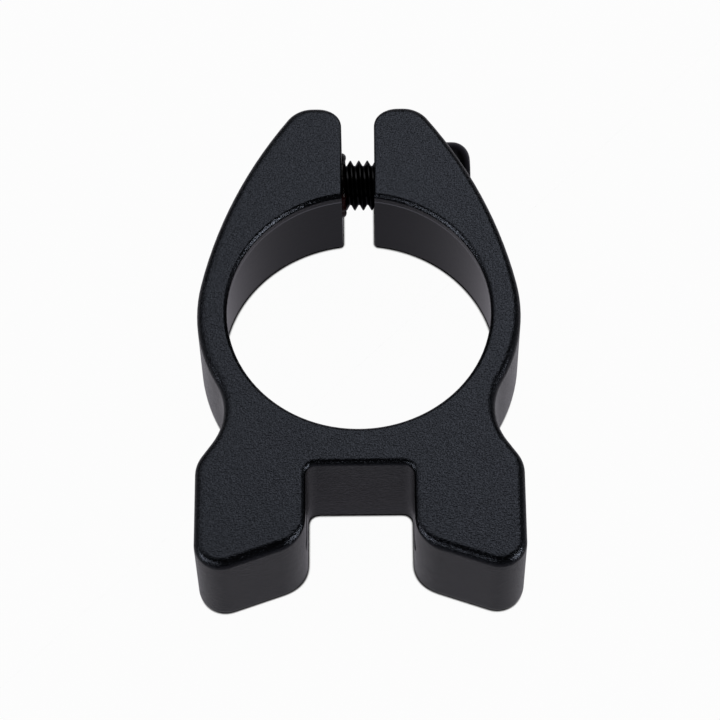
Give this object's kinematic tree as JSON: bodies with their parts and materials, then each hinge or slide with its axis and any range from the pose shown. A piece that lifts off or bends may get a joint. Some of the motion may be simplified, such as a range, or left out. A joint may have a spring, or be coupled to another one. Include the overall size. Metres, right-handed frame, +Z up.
{
  "type": "seatpost rack clamp",
  "caption": "Split collar that a cross bolt pinches onto a bicycle seat tube, with a stop lip inside and two forked legs tapped across for the stays of a luggage rack.",
  "frame": {"origin": "on the axis of the seat tube bore, halfway up the collar's thickness", "axes": "+Z up along the bore, towards the stop lip, +Y towards the split and its ears, -Y towards the rack legs, +X towards the bolt's head"},
  "size_m": [0.0368, 0.0589, 0.0134],
  "materials": {
    "black_aluminium": "bead blasted, anodised black",
    "black_steel": "black oxide, oiled"
  },
  "bodies": {
    "clamp": {"clamp_body": "black_aluminium"},
    "bolt": {"clamp_bolt": "black_steel"}
  },
  "joints": [
    {"name": "bolt_turn", "type": "hinge", "parent": "clamp", "child": "bolt", "pos_m": [0, 0.02032, 0], "axis": [-1, 0, 0], "continuous": true}
  ]
}
